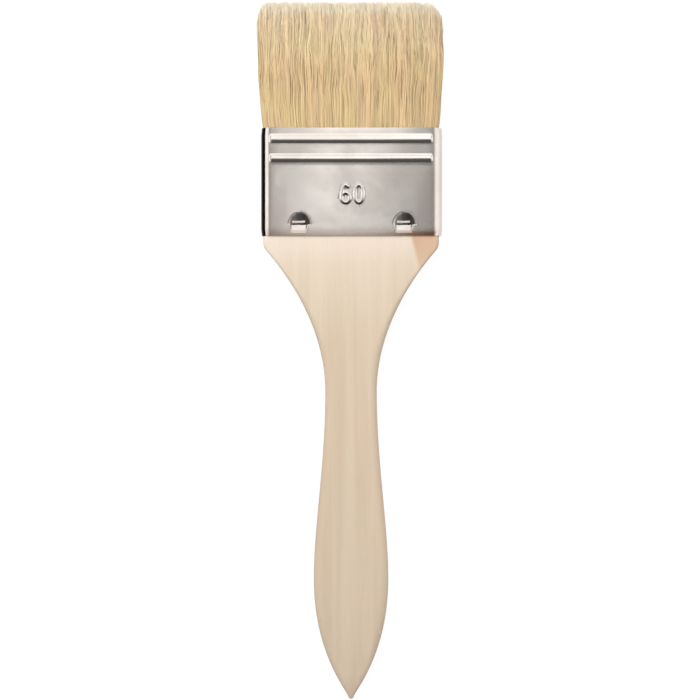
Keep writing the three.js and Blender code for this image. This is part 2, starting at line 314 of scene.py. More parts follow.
def new_finish(name, **constants):
    """A material with one Principled shader, whose constants are set here, and its paint."""
    paint = Paint(bpy.data.materials.new(name))
    shader = paint.tree.nodes["Principled BSDF"]
    for key, value in constants.items():
        shader.inputs[key.replace("_", " ")].default_value = value
    return paint, shader


def bumped(paint, shader, height, distance, strength):
    """Feed the shader's normal with a relief of a height from 0 to 1 that is distance metres deep."""
    bump = paint.node("Bump", Strength=strength, Distance=distance, Height=height)
    paint.feed(shader.inputs["Normal"], bump.outputs[0])


def rgb(red, green, blue):
    """A colour given as 8-bit display numbers, as the shader's linear numbers."""
    share = np.array([red, green, blue]) / 255
    linear = np.where(share <= 0.04045, share / 12.92, ((share + 0.055) / 1.055) ** 2.4)
    return (*[float(part) for part in linear], 1.0)


# -------- finishes


def birch():
    """Raw pale wood: faint growth bands, fibres and pores along the handle and one pinkish streak.

    It is painted paler below the ferrule as painted light, warmer at the tip, and darker brown on
    its edges and tip, as end grain of cut fibres and painted shade.
    """
    paint, shader = new_finish("birch", Roughness=0.62, Specular_IOR_Level=0.3)
    vector, (x, y, z) = paint.place()
    bands = paint.noise(vector, (230, 7, 160), 3.0, 0.55, 0.5)
    fibres = paint.noise(vector, (2600, 55, 2600), 3.0, 0.6)
    clouds = paint.noise(vector, (50, 22, 50), 2.0, 0.5)
    colour = paint.mix(rgb(216, 197, 173), rgb(207, 186, 161), paint.smooth(bands, 0.3, 0.75))
    colour = paint.mix(colour, rgb(216, 188, 166), paint.smooth(clouds, 0.5, 0.75) * 0.4)
    # painted light: paler towards the ferrule, where the lamp's light falls stronger
    painted_light_near_collar = paint.smooth(y, ORIGIN[1] - 38 * MM, ORIGIN[1]) * 0.38
    painted_light_near_collar = painted_light_near_collar + paint.smooth(y, ORIGIN[1] - 12 * MM, ORIGIN[1]) * 0.25
    colour = paint.mix(colour, rgb(236, 223, 208), painted_light_near_collar)
    tip_y = ORIGIN[1] - HANDLE_REACH * MM
    near_tip = 1.0 - paint.smooth(y, tip_y + 1 * MM, tip_y + 9 * MM)
    colour = paint.mix(colour, rgb(204, 172, 150), near_tip * 0.5)
    slanted = x + (y - ORIGIN[1]) * 0.2 + (z - ORIGIN[2]) * 0.35 + bands * (3 * MM)
    streak = paint.smooth(slanted, ORIGIN[0] + 22.7 * MM, ORIGIN[0] + 24.1 * MM)
    streak = streak * paint.smooth(y, ORIGIN[1] - 24 * MM, ORIGIN[1] - 3 * MM)
    pores = paint.smooth(paint.noise(vector, (4200, 150, 4200), 2.0, 0.5), 0.58, 0.74)
    colour = paint.mix(colour, rgb(202, 162, 130), streak * (0.62 + bands * 0.36))
    # end grain and painted shade: the rounded edges and tip are darkened, most on the right edge
    colour = paint.mix(colour, rgb(136, 110, 88), paint.attribute("end_grain_and_shade") * 0.55)
    colour = paint.shade(colour, 0.975 + fibres * 0.07 - pores * 0.06)
    paint.feed(shader.inputs["Base Color"], colour)
    bumped(paint, shader, fibres - pores * 0.5, 0.05 * MM, 0.45)
    return paint.owner


def tinplate():
    """Bright tinned sheet: cloudy tone, fine rolling lines, and a painted reflection of the wood with
    painted shade along its lower edge, greyish and towards the right brown.

    It is painted darker and is a little rougher, as painted shade and dark reflection, in the punch
    marks and down the lower flanks of beads and number, and it has a painted highlight on the
    number's strokes.
    """
    paint, shader = new_finish("tinplate", Metallic=1.0)
    vector, (x, y, z) = paint.place()
    clouds = paint.noise(vector, (70, 90, 70), 3.0, 0.55, 0.5)
    rolled = paint.noise(vector, (60, 2600, 60), 3.0, 0.6)
    tint = paint.noise(vector, (45, 60, 45), 1.0, 0.5)
    colour = paint.mix(rgb(232, 226, 219), rgb(222, 214, 206), paint.smooth(clouds, 0.35, 0.65))
    colour = paint.mix(colour, rgb(230, 212, 207), paint.smooth(tint, 0.5, 0.7) * 0.35)
    from_middle = paint.math("ABSOLUTE", z - ORIGIN[2])
    on_face = paint.smooth(from_middle, (HALF_THICK - 0.45) * MM, (HALF_THICK - 0.25) * MM)
    # painted reflection and shade: the faces' lower edge is painted greyish, as if mirroring the wood
    # below
    painted_reflection = paint.smooth(y + clouds * MM, ORIGIN[1] + 4.2 * MM, ORIGIN[1] + 0.4 * MM) * on_face
    colour = paint.mix(colour, rgb(184, 170, 156), painted_reflection * 0.9)
    # painted reflection: towards the right the lower edge is painted brown, as the wood's reflection
    brown = paint.smooth(y + clouds * (0.8 * MM), ORIGIN[1] + 2.6 * MM, ORIGIN[1] + 1.2 * MM)
    brown = brown * paint.smooth(x, ORIGIN[0] + 12 * MM, ORIGIN[0] + 22 * MM) * on_face
    colour = paint.mix(colour, rgb(160, 118, 88), brown * 0.75)
    # painted highlight: the number's raised strokes are painted near white
    colour = paint.mix(colour, rgb(253, 251, 247), paint.attribute("painted_highlight") * 0.5)
    # painted shade and dark reflection: darker base colour in the punch marks and down the lower flanks
    # of beads and number
    painted_shade = paint.attribute("painted_shade")
    colour = paint.mix(colour, rgb(66, 61, 56), painted_shade * 0.72)
    paint.feed(shader.inputs["Base Color"], colour)
    paint.feed(shader.inputs["Roughness"], 0.1 + clouds * 0.08 + rolled * 0.03 + painted_shade * 0.08)
    bumped(paint, shader, rolled * 0.4 + clouds, 0.02 * MM, 0.3)
    return paint.owner


def hog_bristle():
    """Pale natural bristle: each strand has its own tone and warmth, and pales towards its tip."""
    paint, shader = new_finish("hog_bristle", Roughness=0.5, Specular_IOR_Level=0.4)
    tone = paint.attribute("tone")
    warmth = paint.attribute("warmth")
    along = paint.attribute("along")
    root = paint.mix(rgb(228, 206, 155), rgb(224, 194, 154), warmth)
    upper = paint.mix(rgb(236, 220, 181), rgb(234, 208, 174), warmth)
    colour = paint.mix(root, upper, paint.smooth(along, 0.4, 0.9))
    colour = paint.mix(colour, rgb(247, 237, 216), paint.smooth(along, 0.84, 0.99) * 0.85)
    paint.feed(shader.inputs["Base Color"], paint.shade(colour, tone))
    return paint.owner


def set_resin():
    """Clear brown resin with small bubbles."""
    paint, shader = new_finish("set_resin", Roughness=0.2, Coat_Weight=0.3)
    vector, _ = paint.place()
    cloud = paint.noise(vector, (300, 300, 300), 3.0)
    paint.feed(shader.inputs["Base Color"],
               paint.mix(rgb(168, 118, 62), rgb(128, 82, 38), paint.smooth(cloud, 0.35, 0.65)))
    bumped(paint, shader, cloud, 0.2 * MM, 0.4)
    return paint.owner


def spacer_board():
    """Pressed brown board with short fibres."""
    paint, shader = new_finish("spacer_board", Roughness=0.85)
    vector, _ = paint.place()
    fibre = paint.noise(vector, (900, 500, 900), 4.0, 0.6)
    paint.feed(shader.inputs["Base Color"],
               paint.mix(rgb(176, 146, 106), rgb(142, 112, 78), paint.smooth(fibre, 0.3, 0.7)))
    bumped(paint, shader, fibre, 0.1 * MM, 0.5)
    return paint.owner


# -------- outlines


def rounded_rings(half_width, half_thick, radius, flat=54, side=6, arc=12):
    """Rounded rectangles in the xz plane, one per row of the inputs, anticlockwise seen from -y.

    Each ring runs round four quarter circles of its radius with straight stretches between them:
    flat points across each face, side points up each side and arc points round each corner.
    Returns x, z and the outward normal, each as rings by points.
    """
    quarter = np.linspace(0, np.pi / 2, arc)
    across = np.linspace(0, 1, flat + 2)[1:-1]
    up = np.linspace(0, 1, side + 2)[1:-1]
    xs, zs, nxs, nzs = [], [], [], []
    for turn, (sx, sz) in enumerate([(1, 1), (-1, 1), (-1, -1), (1, -1)]):
        angle = quarter + turn * np.pi / 2
        centre_x = (sx * (half_width - radius))[:, None]
        centre_z = (sz * (half_thick - radius))[:, None]
        nx, nz = np.cos(angle)[None], np.sin(angle)[None]
        xs.append(centre_x + radius[:, None] * nx)
        zs.append(centre_z + radius[:, None] * nz)
        nxs.append(nx + 0 * centre_x)
        nzs.append(nz + 0 * centre_x)
        if turn % 2 == 0:
            xs.append(centre_x * (1 - 2 * across))
            zs.append((sz * half_thick)[:, None] + 0 * xs[-1])
            nxs.append(0 * xs[-1])
            nzs.append(sz + 0 * xs[-1])
        else:
            zs.append(centre_z * (1 - 2 * up))
            xs.append((sx * half_width)[:, None] + 0 * zs[-1])
            nxs.append(sx + 0 * zs[-1])
            nzs.append(0 * zs[-1])
    return [np.concatenate(parts, axis=1) for parts in (xs, zs, nxs, nzs)]


def punch_depth(x, y, margin=0.0):
    """Depth of the punch marks at a point of a face.

    Above the sheared line the mark is a half ellipse that deepens towards the line. Just above the
    line the cut tongue turns up a little; below it a lip climbs back to the face as a straight ramp.
    A margin makes the mark larger all round, for what lies below the sheet or close beside the mark.
    """
    depth = np.zeros(np.broadcast(x, y).shape)
    up = y - PUNCH_CUT
    for middle in PUNCH_MIDDLES:
        across = np.abs(x - middle)
        bowl_edge = np.hypot((x - middle - PUNCH_SHIFT) / (PUNCH_HALF_WIDTH + margin),
                             up / (PUNCH_RISE + margin))
        bowl = PUNCH_DEPTH * np.clip(BOWL_STEEPNESS * (1 - bowl_edge), 0, 1) ** BOWL_POWER
        tongue = TONGUE_RISE * smooth(up, 1.3, 0.75) * smooth(
            across, TONGUE_HALF_WIDTH + PUNCH_SOFT_EDGE, TONGUE_HALF_WIDTH - PUNCH_SOFT_EDGE)
        above = bowl - tongue * (bowl > 0.3)
        ramp = np.clip(1 + (up + margin) / (PUNCH_LIP + margin), 0, 1)
        reach = PUNCH_LIP_HALF_WIDTH + margin + PUNCH_LIP_SPREAD * ramp
        below = PUNCH_LIP_DEPTH * ramp * smooth(across, reach + PUNCH_SOFT_EDGE, reach - PUNCH_SOFT_EDGE)
        slit = smooth(up, 0.6, -0.1)
        depth = np.maximum(depth, above * (1 - slit) + below * slit)
    return depth


def stroke_height(x, y):
    """Height of the raised size number: a round ridge along the centre line of each stroke.

    The nought is an ellipse. The six is a small ellipse with a quarter of a tall one above its left.
    """
    turn = np.linspace(0, 2 * np.pi, 72)
    half_w = DIGIT_WIDTH / 2 - STROKE
    half_h = NUMBER_HEIGHT / 2 - STROKE
    middle_x, middle_y = NUMBER_MIDDLE
    six_x, nought_x = middle_x - DIGIT_PITCH / 2, middle_x + DIGIT_PITCH / 2
    loop_h = SIX_LOOP * half_h
    nought = [nought_x + half_w * np.cos(turn), middle_y + half_h * np.sin(turn)]
    loop = [six_x + half_w * np.cos(turn), middle_y - half_h + loop_h + loop_h * np.sin(turn)]
    rise = np.linspace(SIX_STEM_START, np.pi, 40)
    stem_h = 2 * half_h - loop_h
    stem = [six_x + half_w * np.cos(rise), middle_y - half_h + loop_h + stem_h * np.sin(rise)]
    line = np.concatenate([np.array(part) for part in (nought, loop, stem)], axis=1)
    near = np.abs(np.stack([x - middle_x, y - middle_y])).max(0) < NUMBER_HEIGHT
    height = np.zeros(x.shape)
    gap_x = x[near][:, None] - line[0]
    gap_y = y[near][:, None] - line[1]
    distance = np.hypot(gap_x, gap_y).min(1)
    height[near] = STROKE_RISE * smooth(distance, STROKE_FOOT, STROKE_TOP)
    return height


def soft_waves(x, y, seed, length, count=6):
    """Gentle undulation between about -1 and 1: a sum of sine waves in random directions."""
    rng = np.random.default_rng(seed)
    total = 0
    for _ in range(count):
        heading, phase = rng.uniform(0, 2 * np.pi, 2)
        wave = 2 * np.pi / (length * rng.uniform(0.7, 1.6))
        total = total + np.sin(wave * (x * np.cos(heading) + y * np.sin(heading)) + phase)
    return total / count ** 0.5


# -------- ferrule


def ferrule_columns():
    """Columns round the ferrule: place x and z on the plain outline, outward normal, bead and lap.

    The outline is a rounded rectangle. Columns lie closer over the punch marks, the number, the ends
    of the beads and the edge of the lap. bead is 1 along the beads and 0 past their ends. The lap
    stands out by the sheet's thickness, which fades out round the front corner.
    """
    marks = [(m - PUNCH_HALF_WIDTH - 0.4, m + PUNCH_HALF_WIDTH + 1.0, 0.27) for m in PUNCH_MIDDLES]
    number = (NUMBER_MIDDLE[0] - DIGIT_PITCH, NUMBER_MIDDLE[0] + DIGIT_PITCH, 0.16)
    ends = [(-HALF_FLAT, -HALF_FLAT + 2.4, 0.2), (HALF_FLAT - 2.4, HALF_FLAT, 0.2)]
    front = graded(-HALF_FLAT, HALF_FLAT, 1.4, *marks, number, *ends)
    back = graded(-HALF_FLAT, HALF_FLAT, 1.4, *[(a, b, 0.4) for a, b, _ in marks], *ends)
    arc = np.linspace(0, np.pi / 2, 15)
    side = HALF_THICK - FERRULE_CORNER
    lap = np.array([-LAP_EDGE - 0.02, -LAP_EDGE])
    place, normal = [], []

    def add(x, z, nx, nz):
        x, z, nx, nz = np.broadcast_arrays(x, z, nx, nz)
        place.append(np.stack([x, z], 1))
        normal.append(np.stack([nx, nz], 1))

    for turn, (sx, sz) in enumerate([(1, 1), (-1, 1), (-1, -1), (1, -1)]):
        angle = arc + turn * np.pi / 2
        add(sx * HALF_FLAT + FERRULE_CORNER * np.cos(angle), sz * side + FERRULE_CORNER * np.sin(angle),
            np.cos(angle), np.sin(angle))
        if turn == 0:
            add(front[-2:0:-1], HALF_THICK, 0, 1)
        if turn == 2:
            add(back[1:-1], -HALF_THICK, 0, -1)
        if turn == 3:
            add(HALF_WIDTH, lap, 1, 0)
    place = np.concatenate(place)
    normal = np.concatenate(normal)
    bead = smooth(np.abs(place[:, 0]), BEAD_END, BEAD_END - BEAD_RUNOUT)
    over = (place[:, 0] > 0) & (place[:, 1] >= -LAP_EDGE - 0.01)
    lap_rise = SHEET * over * (1 - smooth(normal[:, 1], 0.2, 1.0))
    return place, normal, bead, lap_rise


def ferrule_relief(rows, place, normal, bead):
    """How far the sheet stands out from its plain outline, and its painted shade and highlight.

    A bead is a cosine arch to the power 1.5, steeper below its crest, with a shallow bell-shaped
    line sunk below it. The faces wave gently, dip as squares along the mouth and the lower edge and
    fall away as a square towards the sides, which bow out by the square of their normal's x. The
    punch marks are sunk and the number stands up. The painted shade, which also stands for dark
    reflections, is about 1 in the punch marks and down the lower flanks of beads and number, and
    less just right of the marks, where it is a painted shadow. The painted highlight is 1 on the
    number.
    """
    x = np.broadcast_to(place[:, 0], (len(rows), len(place)))
    y = np.broadcast_to(rows[:, None], x.shape)
    faces_up = np.abs(normal[:, 1])[None]
    on_face = faces_up > 0.99
    on_front = normal[:, 1][None] > 0.99
    relief = np.zeros(x.shape)
    painted_shade = np.zeros(x.shape)
    for middle, upper_foot, lower_foot, sunk_depth in zip(
            BEAD_MIDDLES, BEAD_UPPER_FOOT, BEAD_LOWER_FOOT, BEAD_SUNK):
        from_crest = y - middle + BEAD_CREST_DROP
        share = from_crest / np.where(from_crest > 0, upper_foot, lower_foot)
        sunk = np.exp(-((from_crest + lower_foot + SUNK_BELOW_FOOT) / SUNK_HALF_WIDTH) ** 2)
        ridge = np.cos(np.clip(np.abs(share), 0, 1) * np.pi / 2) ** 1.5
        relief += (BEAD_HEIGHT * ridge - sunk_depth * sunk) * bead[None]
        # painted dark reflection down each bead's lower flank
        painted_shade += smooth(-share, 0.08, 0.28) * smooth(-share, 1.12, 0.85) * bead[None]
    off_sides = smooth(np.abs(x), HALF_FLAT, HALF_FLAT - 4)
    off_rims = smooth(y, 0, 2) * smooth(y, FERRULE_HEIGHT, FERRULE_HEIGHT - 1.5)
    waves = np.where(on_front, soft_waves(x, y, 5, 26), soft_waves(x, y, 8, 26))
    relief += FERRULE_WAVE * waves * off_sides * off_rims * faces_up
    pinched = np.clip((y - FERRULE_HEIGHT + PINCH_HEIGHT) / PINCH_HEIGHT, 0, 1) ** 2
    pinched = pinched * (1 - (x / HALF_WIDTH) ** 2)
    tucked = np.clip(1 - y / TUCK_HEIGHT, 0, 1) ** 2
    relief -= (MOUTH_PINCH * pinched + LOWER_TUCK * tucked) * faces_up
    fallen = np.clip((np.abs(x) - HALF_WIDTH + CROWN_REACH) / (CROWN_REACH - FERRULE_CORNER), 0, 1)
    relief -= FERRULE_CROWN * fallen ** 2 * faces_up
    between_rims = smooth(y, 0, 2.5) * smooth(y, FERRULE_HEIGHT, FERRULE_HEIGHT - 2.5)
    relief += FERRULE_BOW * normal[:, 0] ** 2 * between_rims
    punched = punch_depth(x, y) * on_face
    relief -= punched
    # painted shade in the punch marks, deeper towards their right, a painted shadow just right of them,
    # and none along the tongue's bright edge
    from_mark = x - np.sign(x) * PUNCH_MIDDLES[1]
    to_right = smooth(from_mark, -1, 2.5)
    hollow = smooth(punched, 0.06 - 0.06 * to_right, 0.3 - 0.18 * to_right) * (y > PUNCH_CUT)
    painted_shade += hollow * (0.85 + 0.6 * to_right)
    halo = punch_depth(x, y, margin=1.2) * on_face * (y > PUNCH_CUT)
    painted_shade = np.maximum(painted_shade, 0.4 * smooth(halo, 0, 0.45) * to_right)
    tongue = smooth(y - PUNCH_CUT, 0.6, 0.85) * smooth(y - PUNCH_CUT, 1.6, 1.3)
    painted_shade *= 1 - 0.9 * tongue * smooth(np.abs(from_mark), 2.4, 1.9)
    number = stroke_height(x, y) * on_front
    relief += number
    # painted dark reflection down the number's lower flanks
    painted_shade += 1.55 * smooth(np.gradient(number, rows, axis=0), 0.06, 0.38)
    return relief, painted_shade, smooth(number, 0.02, 0.2)


def ferrule(material):
    """The sheet's outer and inner surface as one grid each, joined round both rims.

    Each point of the plain outline moves along its normal by the relief and the lap's rise. The
    inner surface is the same without the lap, a sheet further in.
    """
    place, normal, bead, lap_rise = ferrule_columns()
    bead_windows = [(m - BEAD_WIDTH / 2, m + BEAD_WIDTH / 2, 0.16) for m in BEAD_MIDDLES]
    number_window = (NUMBER_MIDDLE[1] - NUMBER_HEIGHT / 2 - 0.3,
                     NUMBER_MIDDLE[1] + NUMBER_HEIGHT / 2 + 0.3, 0.15)
    rows = graded(0, FERRULE_HEIGHT, 1.2, (0.7, PUNCH_CUT + PUNCH_RISE + 0.3, 0.19),
                  number_window, *bead_windows)
    relief, painted_shade, painted_highlight = ferrule_relief(rows, place, normal, bead)
    x = np.broadcast_to(place[:, 0], relief.shape)
    y = np.broadcast_to(rows[:, None], relief.shape)

    def surface(offset):
        return np.stack([x + normal[:, 0] * offset, y, place[:, 1] + normal[:, 1] * offset], -1)

    grid = surface(relief + lap_rise[None]), surface(relief - SHEET)
    shape = relief.shape
    points = np.concatenate([part.reshape(-1, 3) for part in grid])
    inside = shape[0] * shape[1]
    around = np.arange(shape[1])
    after = (around + 1) % shape[1]
    top = (shape[0] - 1) * shape[1]
    lower_rim = np.stack([around, after, after + inside, around + inside], 1)
    upper_rim = np.stack([around + top, around + top + inside, after + top + inside, after + top], 1)
    faces = [tube_faces(*shape), tube_faces(*shape, inside, inward=True), lower_rim, upper_rim]
    # painted shade and painted highlight, on the outer surface only
    tones = [(label, np.stack([outside, 0 * outside]))
             for label, outside in (("painted_shade", painted_shade), ("painted_highlight", painted_highlight))]
    piece = new_piece("ferrule_sheet", points, faces, material, "brush", tones)
    piece.data.set_sharp_from_angle(angle=np.radians(60))
    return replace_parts(piece, "ferrule")


# -------- handle


def handle_outline():
    """Half widths and stations of the handle below the ferrule, along four Bezier curves.

    They are the shoulder's corner, the flare to the neck, the swell to the belly and the point.
    """

    def moved(point, lean, distance):
        return point[0] - np.sin(lean) * distance, point[1] + np.cos(lean) * distance

    shoulder = (HALF_BLANK, SHOULDER_STATION)
    tip = (TIP_HALF_WIDTH, HANDLE_REACH - TIP_ROUND)
    below = moved(shoulder, SHOULDER_LEAN, SHOULDER_ROUND)
    corner = bezier(moved(shoulder, 0, -SHOULDER_ROUND), shoulder, below, count=14)
    flare = bezier(below, moved(shoulder, SHOULDER_LEAN, SHOULDER_HOLD),
                   moved(NECK, 0, -NECK_HOLD[0]), NECK, count=90)
    swell = bezier(NECK, moved(NECK, 0, NECK_HOLD[1]), moved(BELLY, 0, -BELLY_HOLD[0]), BELLY,
                   count=70)
    point = bezier(BELLY, moved(BELLY, 0, BELLY_HOLD[1]), moved(tip, TIP_LEAN, -TIP_HOLD), tip,
                   count=90)
    return np.concatenate([corner, flare[1:], swell[1:], point[1:]])


def handle_half_thick(station):
    """Even thickness, then a taper to the tip that steepens as the power 2.6 of the way along."""
    along = np.clip((station - HANDLE_REACH + TIP_TAPER) / TIP_TAPER, 0, 1)
    return TIP_HALF_THICK + (HALF_BLANK_THICK - TIP_HALF_THICK) * (1 - along ** 2.6)


def handle(material):
    """Rounded rectangles along the blank, from the rounded tip up to the chamfered tang.

    The tip's rings shrink as the cosine of a turn and lie at its sine. The tang is dented below the
    ferrule's punch marks. The edges' darkening is the sine of the outline's lean, on the edges and at
    the tip: end grain of the cut fibres together with painted shade, weaker on the left edge.
    """
    outline = handle_outline()
    half_width, station = outline[::-1].T
    half_thick = handle_half_thick(station)
    edge = SHOULDER_EDGE + (NECK_EDGE - SHOULDER_EDGE) * smooth(
        station, SHOULDER_STATION, NECK_EDGE_STATION)
    radius = np.minimum(edge, 0.97 * np.minimum(half_thick, half_width))
    turn = np.linspace(np.radians(87), TIP_LEAN, 14)[:-1]
    tip_width = TIP_HALF_WIDTH * np.cos(turn) / np.cos(TIP_LEAN)
    tip_thick = half_thick[0] * np.cos(turn) / np.cos(TIP_LEAN)
    tip_station = station[0] + TIP_ROUND * (np.sin(turn) - np.sin(TIP_LEAN)) / (1 - np.sin(TIP_LEAN))
    ledge = np.array([[HALF_BLANK, HALF_BLANK_THICK, SHOULDER_EDGE, FIT_GAP]])
    height = np.append(np.arange(0.0, 9.6, 0.4), [TANG_LENGTH - TANG_CHAMFER, TANG_LENGTH])
    chamfer = np.where(height == TANG_LENGTH, TANG_CHAMFER, 0.0)
    tang = np.stack([HALF_BLANK - chamfer, HALF_BLANK_THICK - chamfer, TANG_CORNER - chamfer,
                     -height], 1)
    rings = np.concatenate([
        np.stack([tip_width, tip_thick, 0.97 * np.minimum(tip_width, tip_thick), tip_station], 1),
        np.stack([half_width, half_thick, radius, station], 1), ledge, tang])
    x, z, nx, nz = rounded_rings(*rings[:, :3].T)
    y = -rings[:, 3:] + 0 * x
    z = z - np.sign(nz) * punch_depth(x, y, margin=FIT_GAP) * ((np.abs(nz) > 0.99) & (y > 0))
    all_apart = np.arange(len(rings)) * -1e-6
    slope = np.gradient(rings[:, 0], rings[:, 3] + all_apart)
    cut = np.abs(slope / np.hypot(1, slope))[:, None]
    # painted shade with the end grain: the right edge, away from the lamp, gets the full darkening
    at_side = smooth(np.abs(nx), 0.6, 0.98) * np.where(nx > 0, 1.0, LEFT_GRAIN_AND_SHADE)
    at_tip = np.zeros((len(rings), 1))
    at_tip[:len(turn), 0] = smooth(turn, np.radians(20), np.radians(70))
    end_grain_and_shade = (at_side * (1 - at_tip) + 0.7 * at_tip) * cut * (y < 0)
    points = np.stack([x, y, z], -1).reshape(-1, 3)
    columns = x.shape[1]
    last = len(points) - columns
    caps = [np.arange(columns)[None], (last + np.arange(columns)[::-1])[None]]
    piece = new_piece("handle_blank", points, [tube_faces(len(rings), columns), *caps], material,
                      "brush", [("end_grain_and_shade", end_grain_and_shade)])
    piece.data.set_sharp_from_angle(angle=np.radians(60))
    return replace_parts(piece, "handle")


# -------- bristles

STRANDS_PER_PIECE = 2320
STRAND_RADIUS = (0.08, 0.13)
HELD_ROWS = np.array([27.2, 33.9, 35.7])  # heights in the ferrule
FIRST_FREE_ROW = 38.2
FREE_ROWS = 12
HOME_ROW = 4  # the row whose place picks a strand's lock
ROOT_INNER = 1.15
ROOT_CORNER = 2.55
LINE_INSET = (0.15, 0.12)  # how far inside the tuft's sides and faces the centre lines stay
HELD_INSET = 0.3  # how much further inside its sides they are held
TUFT_SWELL = 1.5
TUFT_SWELL_HEIGHT = 27.0
TUFT_THICKENING = 0.45
TUFT_HALF_THICK = 3.8
TIP_DROP = (5.0, 5.5)  # how much shorter the outermost strands are, at the left and at the right
TIP_DROP_POWER = (32, 20)
RIGHT_SIDE_IN = (0.4, 0.6)  # how much less the right side stands out, low down and near the tips
LOCK_WIDTH = 1.7
LOCK_THICK = 1.3
LOCK_DRAW = 0.15  # share of the way to its lock's middle that a strand is drawn
SIDE_STRANDS = 0.09  # share of an outer third's strands that stand right at its side
SHORT_STRANDS, SHORTEST = 0.15, 7.0  # their share, and how much is missing at most
LONG_STRANDS, LONGEST = 0.12, 1.3
CROSSING_STRANDS = 0.1
LOCK_SWAY = (0.34, 0.16)  # across and through the tuft, at the tips
STRAND_WAVE = (0.15, 0.08)
RIPPLE = 0.26
LEAN = 0.35
CROSSING_LEAN = 0.9
STAND_OFF, STAND_OFF_MOST = 0.28, 1.0  # how far strands stand out at the sides, typical and at most


def tuft_half_width(height):
    """Half width of the tuft at a height above the mouth: a sine swell, widest at two thirds."""
    turn = np.clip(height / TUFT_SWELL_HEIGHT, 0, 1.4)
    return HALF_BLANK + FIT_GAP + TUFT_SWELL * np.sin(turn * np.pi / 2)


def tuft_half_thick(height):
    """Half thickness of the tuft at a height above the mouth: an S curve, then a sine swell."""
    risen = smooth(height, 0, 8)
    swell = np.sin(np.clip(height / BRISTLE_LENGTH, 0, 1) * np.pi * 0.75)
    held = HALF_BLANK_THICK + 0.1
    return held + (TUFT_HALF_THICK - held) * risen + TUFT_THICKENING * swell * risen


def locks(rng, x, z):
    """The middles of the locks, a jittered grid, and for each strand the number of the nearest one."""
    grid_x, grid_z = np.meshgrid(np.arange(-34, 34, LOCK_WIDTH), np.arange(-5, 5, LOCK_THICK))
    middle = np.stack([grid_x.ravel(), grid_z.ravel()], 1)
    middle += rng.uniform(-0.5, 0.5, middle.shape) * (LOCK_WIDTH, LOCK_THICK)
    apart = (x[:, None] - middle[:, 0]) ** 2 + ((z[:, None] - middle[:, 1]) * 1.5) ** 2
    return middle, apart.argmin(1)


def strand_shares(rng, count, third):
    """Each strand's share of the tuft's half width, -1 to 1, and of its half thickness, 0 to 1.

    The strands lie denser towards the face, and some of an outer third stand right at its side.
    """
    share_x = (2 * third + rng.uniform(-1, 1, count)) / 3
    share_z = 1 - rng.uniform(0, 1, count) ** 1.4
    if third != 0:
        outermost = rng.random(count) < SIDE_STRANDS
        share_x[outermost] = third * (1 - rng.uniform(0, 0.03, outermost.sum()))
        share_z[outermost] = rng.uniform(0, 1, outermost.sum())
    return share_x, share_z


def strand_rows(rng, share_x, share_z):
    """Heights of each strand's rows above the ferrule's lower edge, from its root to its tip.

    The first ones are held in the ferrule, the others evenly apart. The tips make a gentle wave,
    lower by a high power of the share towards the sides and by a cube inside. All strands are a
    little short at random, some much shorter, and a few longer.
    """
    count = len(share_x)
    drop = np.where(share_x > 0, TIP_DROP[1] * np.abs(share_x) ** TIP_DROP_POWER[1],
                    TIP_DROP[0] * np.abs(share_x) ** TIP_DROP_POWER[0])
    wavy_top = 0.14 * soft_waves(share_x * 31, share_z * 4, 3, 4.0)
    short = np.abs(rng.normal(0, 0.55, count))
    short = short + (rng.random(count) < SHORT_STRANDS) * rng.uniform(0, SHORTEST, count)
    long = (rng.random(count) < LONG_STRANDS) * rng.uniform(0, LONGEST, count)
    length = BRISTLE_LENGTH - drop - 0.25 * (1 - share_z) ** 3 + wavy_top - 0.1 - short + long
    length = np.minimum(length, BRISTLE_LENGTH + 0.5)
    held = np.broadcast_to(HELD_ROWS, (count, len(HELD_ROWS)))
    risen = np.linspace(0, 1, FREE_ROWS)
    free = FIRST_FREE_ROW + (FERRULE_HEIGHT + length - FIRST_FREE_ROW)[:, None] * risen
    return np.concatenate([held, free], 1)


